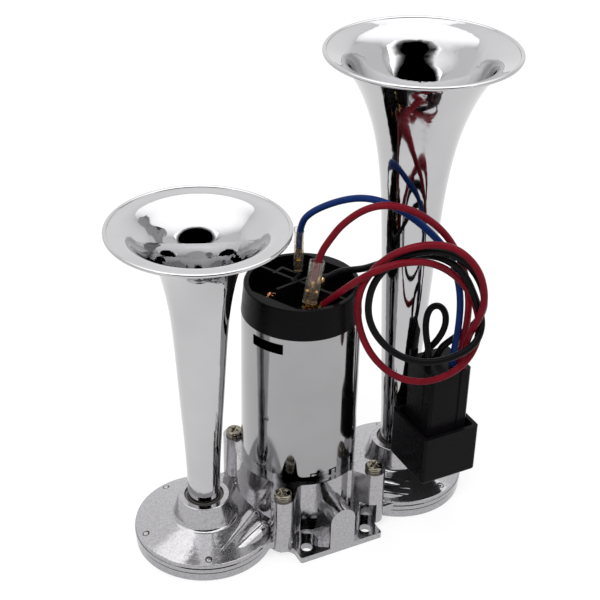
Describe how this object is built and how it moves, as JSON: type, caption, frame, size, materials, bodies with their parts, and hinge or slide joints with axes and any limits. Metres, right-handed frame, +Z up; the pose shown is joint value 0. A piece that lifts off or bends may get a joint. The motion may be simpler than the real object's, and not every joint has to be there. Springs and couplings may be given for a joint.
{
  "type": "car air horn",
  "caption": "Electric air horn: a short and a tall flared trumpet on a cast base with a vane air pump and its motor between them, with relay and wiring.",
  "frame": {"origin": "on the motor's axis, in the plane the base stands on", "axes": "+Z up along the motor and the trumpets, +X from the short trumpet to the tall one, the mounting foot towards -Y"},
  "size_m": [0.1755, 0.0855, 0.2142],
  "materials": {
    "cast_metal": "polished die-cast alloy with a fine grain",
    "chrome_plate": "bright chrome plate",
    "screw_steel": "dark passivated steel",
    "spring_steel": "cold-rolled sheet",
    "inner_steel": "machined",
    "sintered_bronze": "sintered",
    "black_rubber": "matte",
    "vane_plastic": "filled plastic",
    "copper": "enamelled copper wire and bare copper bars",
    "ferrite": "ground ferrite",
    "carbon": "pressed carbon",
    "brass": "bright stamped brass",
    "clear_sleeve": "clear soft plastic tube",
    "black_plastic": "moulded black plastic with a slight sheen",
    "blue_insulation": "glossy wire insulation",
    "red_insulation": "glossy wire insulation",
    "black_insulation": "glossy wire insulation"
  },
  "bodies": {
    "horn": {"base_casting": "cast_metal", "compressor_flange": "cast_metal", "short_cover": "cast_metal", "tall_cover": "cast_metal", "short_trumpet": "chrome_plate", "tall_trumpet": "chrome_plate", "motor_housing": "chrome_plate", "flange_screws": "screw_steel", "short_cover_screws": "screw_steel", "tall_cover_screws": "screw_steel", "pump_screws": "screw_steel", "short_diaphragm": "spring_steel", "tall_diaphragm": "spring_steel", "short_gasket": "black_rubber", "tall_gasket": "black_rubber", "short_trumpet_seal": "black_rubber", "tall_trumpet_seal": "black_rubber", "pump_ring": "inner_steel", "pump_end_plate": "inner_steel", "lower_bearing": "sintered_bronze", "upper_bearing": "sintered_bronze", "magnets": "ferrite", "brushes": "carbon", "brush_boxes": "brass", "motor_terminals": "brass", "crimped_receptacles": "brass", "relay_blades": "brass", "clear_sleeves": "clear_sleeve", "end_cap": "black_plastic", "relay": "black_plastic", "relay_socket": "black_plastic", "blue_wire": "blue_insulation", "red_wire": "red_insulation", "red_feed_wire": "red_insulation", "black_wire": "black_insulation", "black_jumper": "black_insulation"},
    "rotor": {"shaft": "inner_steel", "armature": "inner_steel", "armature_windings": "copper", "commutator": "copper", "pump_rotor": "inner_steel", "vanes": "vane_plastic"}
  },
  "joints": [
    {"name": "motor_spin", "type": "hinge", "parent": "horn", "child": "rotor", "pos_m": [0, 0, 0.06], "axis": [0, 0, 1], "continuous": true}
  ]
}
